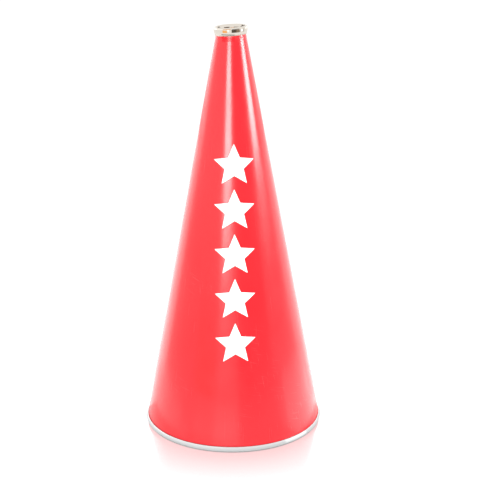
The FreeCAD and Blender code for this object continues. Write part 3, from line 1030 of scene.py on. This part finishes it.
# (name, turns, top, grey at the foot, grey at the top): they stand in for the lit table's glow
# low on the cone.
GLOW_CARDS = (
    ("left_glow_far", (-60, -42), 0.06, 1.5, 1.1),
    ("left_glow_middle", (-42, -20), 0.06, 1.9, 1.1),
    ("left_glow_near", (-20, 6), 0.06, 2.7, 1.1),
    ("right_glow_edge", (53, 62), 0.06, 1.7, 1.1),
    ("right_glow", (62, 114), 0.075, 2.9, 1.7),
)

# (name, turns, grey at the foot, grey at the top): what the rim's bead reflects, close by.
RIM_SHIELDS = (
    ("rim_shield_right", (36, 56), 0.85, 1.7),
    ("rim_shield", (56, 396), 0.75, 1.05),
)

# (name, turns, (near, far), colour): patches just under the table's face, which reflections
# don't show.
LYING_CARDS = (
    ("warm_patch", (-56, -24), (0.85, 2.6), (1.3, 0.66, 0.24)),
    ("front_patch", (-23, -9), (2.1, 5.0), grey(1.7)),
    ("dark_patch", (7, 40), (1.1, 5.0), (0.13, 0.105, 0.085)),
    ("brown_patch", (40, 63), (1.1, 5.0), (0.36, 0.28, 0.21)),
    ("dim_patch", (63, 104), (1.2, 7.0), grey(0.75)),
    ("back_patch", (105, 255), (0.13, 0.35), grey(1.9)),
    ("left_patch", (-135, -48), (0.2, 0.48), grey(2.0)),
    ("right_foot", (60, 114), (0.15, 0.25), grey(2.6)),
    ("foot_shade", (0, 360), (RIM_RADIUS - 1.7 * MM, RIM_RADIUS + 1.0 * MM), grey(0.45)),
    ("foot_side_shade", (105, 255), (RIM_RADIUS + 1.0 * MM, 0.13), grey(0.65)),
)


def make_cards():
    """All the cards, from the tables above and three that stand alone round the mouth."""
    top = TOTAL_HEIGHT
    for name, turns, distance, (low, high), colour in UPRIGHT_CARDS:
        reflection_card(name, turns, (distance, low), (distance, high), colour)
    for name, turns, high, at_foot, at_top in GLOW_CARDS:
        foot, glow_top = (GLOW_DISTANCE, 0.0), (GLOW_DISTANCE, high)
        reflection_card(name, turns, foot, glow_top, grey(at_foot), grey(at_top))
    for name, turns, at_foot, at_top in RIM_SHIELDS:
        foot, shield_top = (RIM_SHIELD, 0.0), (RIM_SHIELD, RIM_HEIGHT + 1.2 * MM)
        reflection_card(name, turns, foot, shield_top, grey(at_foot), grey(at_top), True)
    # The far side of the mouth, dark with painted shade, and the lip's back and underside, which are
    # pale.
    foot, back_top = (THROAT_BACK, THROAT_FOOT), (THROAT_BACK, top + 5 * MM)
    reflection_card("throat_back", (130, 230), foot, back_top, THROAT_SHADE_DARK, one_sided=True)
    foot, lip_top = (LIP_SHIELD, top - 4 * MM), (LIP_SHIELD, top + 14 * MM)
    reflection_card("lip_shield", (95, 265), foot, lip_top, grey(1.12), one_sided=True)
    near, far = (21.3 * MM, top - 11 * MM), (31 * MM, top - 11 * MM)
    reflection_card("bib", (0, 360), near, far, grey(1.15))
    for name, turns, (near, far), colour in LYING_CARDS:
        reflection_card(name, turns, (near, CARD_FLOOR), (far, CARD_FLOOR), colour)


ROOM_GLOW = 1.1


def make_room():
    """An even white room, shown without a film curve so that white stays white."""
    world = bpy.data.worlds.new("white_room")
    world.use_nodes = True
    background = world.node_tree.nodes["Background"]
    background.inputs["Color"].default_value = (1, 1, 1, 1)
    background.inputs["Strength"].default_value = ROOM_GLOW
    bpy.context.scene.world = world
    bpy.context.scene.view_settings.view_transform = "Standard"


def make_lights(*unlit):
    """A soft box in front and one at the right, neither of which reaches the unlit pieces."""
    front_strip = panel_light(
        "front_strip", turn=-11.8, distance=2.6, low=0.5, high=1.4, width=0.95, power=43, lean=12
    )
    right_strip = panel_light(
        "right_strip", turn=84.5, distance=2.0, low=0.47, high=1.2, width=0.84, power=38
    )
    keep_light_off(front_strip, *unlit)
    keep_light_off(right_strip, *unlit)


CAMERA_DISTANCE = 1.553
CAMERA_HEIGHT = 0.72475
CAMERA_ACROSS = -0.33 * MM
CAMERA_TILT = 17.152
CAMERA_PAN = 0.383
CAMERA_ROLL = -0.254
SENSOR = 36.0
LENS = 94.25


def make_camera():
    """The main view, from in front and above."""
    camera = bpy.data.cameras.new("camera")
    camera.sensor_width = SENSOR
    camera.lens = LENS
    tilt, pan, roll = (math.radians(a) for a in (CAMERA_TILT, CAMERA_PAN, CAMERA_ROLL))
    across, ahead = math.sin(pan) * math.cos(tilt), math.cos(pan) * math.cos(tilt)
    forward = Vector((across, ahead, -math.sin(tilt)))
    level = forward.cross(Vector((0, 0, 1))).normalized()
    upright = level.cross(forward)
    right = math.cos(roll) * level + math.sin(roll) * upright
    up = math.cos(roll) * upright - math.sin(roll) * level
    holder = bpy.data.objects.new("camera", camera)
    turn = Matrix((right, up, -forward)).transposed().to_4x4()
    place = Matrix.Translation((CAMERA_ACROSS, -CAMERA_DISTANCE, CAMERA_HEIGHT))
    holder.matrix_world = place @ turn
    bpy.context.scene.collection.objects.link(holder)
    bpy.context.scene.camera = holder


# ---------------------------------------------------------------- the whole scene

make_camera()
make_cone(red_plastic())
bell_rim = make_rim(satin_aluminium())
neck_collar = make_collar(dull_chrome())
mouthpiece = make_mouthpiece(chrome_plate())
table = make_floor()
make_room()
make_lights(table, bell_rim, neck_collar, mouthpiece)
make_cards()
make_rivets(rivet_metal())
vinyl = white_vinyl()
for star_node in STAR_NODES:
    make_star(star_node, vinyl)
